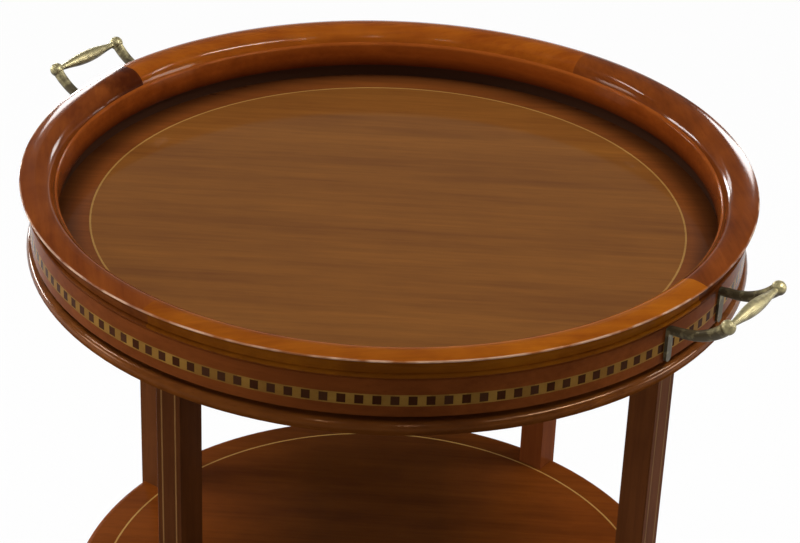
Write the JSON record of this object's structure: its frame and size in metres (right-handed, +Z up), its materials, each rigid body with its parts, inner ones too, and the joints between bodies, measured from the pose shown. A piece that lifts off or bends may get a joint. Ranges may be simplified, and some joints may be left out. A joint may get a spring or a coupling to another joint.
{
  "type": "tray top tea table",
  "caption": "Round polished wood tea table with square line-inlaid legs, a lower shelf and a lift-off round tray with a moulded rim, chequered frieze band and brass bracket handles.",
  "frame": {"origin": "on the floor under the centre of the round table", "axes": "+Z up, +X through one handle of the tray and one leg, +Y to the left of +X seen from above"},
  "size_m": [0.7024, 0.61, 0.7089],
  "materials": {
    "mahogany": "French polished, glossy",
    "floor_veneer": "French polished, glossy",
    "boxwood": "polished inlay",
    "dark_wood": "polished inlay",
    "dowel_wood": "bare",
    "brass": "polished with light tarnish"
  },
  "bodies": {
    "table": {"table_top": "mahogany", "shelf": "mahogany", "shelf_string": "boxwood", "shelf_dowels": "dowel_wood", "leg_1": "mahogany", "leg_2": "mahogany", "leg_3": "mahogany", "leg_4": "mahogany", "leg_string_1": "boxwood", "leg_string_2": "boxwood", "leg_string_3": "boxwood", "leg_string_4": "boxwood"},
    "tray": {"tray_frieze": "mahogany", "rim_moulding": "mahogany", "tray_floor": "floor_veneer", "rim_segment_1": "mahogany", "rim_segment_2": "mahogany", "rim_segment_3": "mahogany", "rim_segment_4": "mahogany", "tray_floor_string": "boxwood", "frieze_band": "boxwood", "frieze_squares": "dark_wood", "handle_bracket_1": "brass", "handle_bracket_2": "brass", "handle_bracket_3": "brass", "handle_bracket_4": "brass", "handle_grip_1": "brass", "handle_grip_2": "brass"}
  },
  "joints": [
    {"name": "tray_lift", "type": "slide", "parent": "table", "child": "tray", "axis": [0, 0, 1], "range_m": [0, 0.2]}
  ]
}
